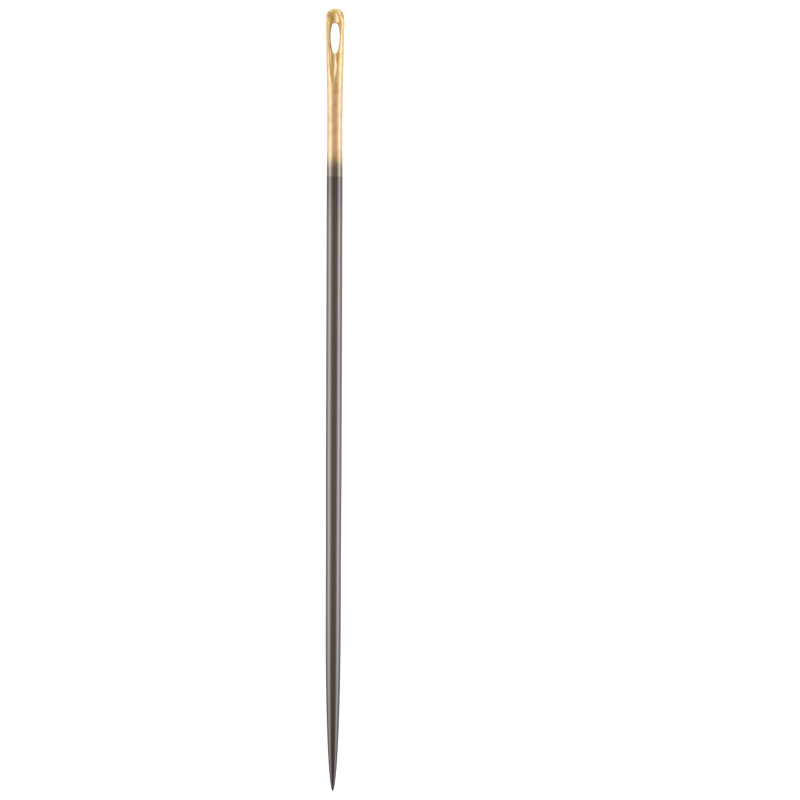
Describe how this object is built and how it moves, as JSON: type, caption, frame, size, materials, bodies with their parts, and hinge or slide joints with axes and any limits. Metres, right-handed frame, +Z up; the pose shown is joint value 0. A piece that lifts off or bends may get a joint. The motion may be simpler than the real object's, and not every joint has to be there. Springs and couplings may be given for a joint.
{
  "type": "hand sewing needle",
  "caption": "Straight hand sewing needle with an egg-shaped stamped eye, thread gutters on both faces, a round shank and a long tapered point.",
  "frame": {"origin": "centre of the bounding box in X and Y, on the plane that the lying shank rests on", "axes": "+Y along the needle towards its eye, -Y towards its point; +Z up, along the hole of the eye; +X across the wide head"},
  "size_m": [0.0012, 0.05, 0.001],
  "materials": {
    "needle": "polished steel with a gold-plated eye end"
  },
  "bodies": {
    "root": {"needle": "needle"}
  },
  "joints": []
}
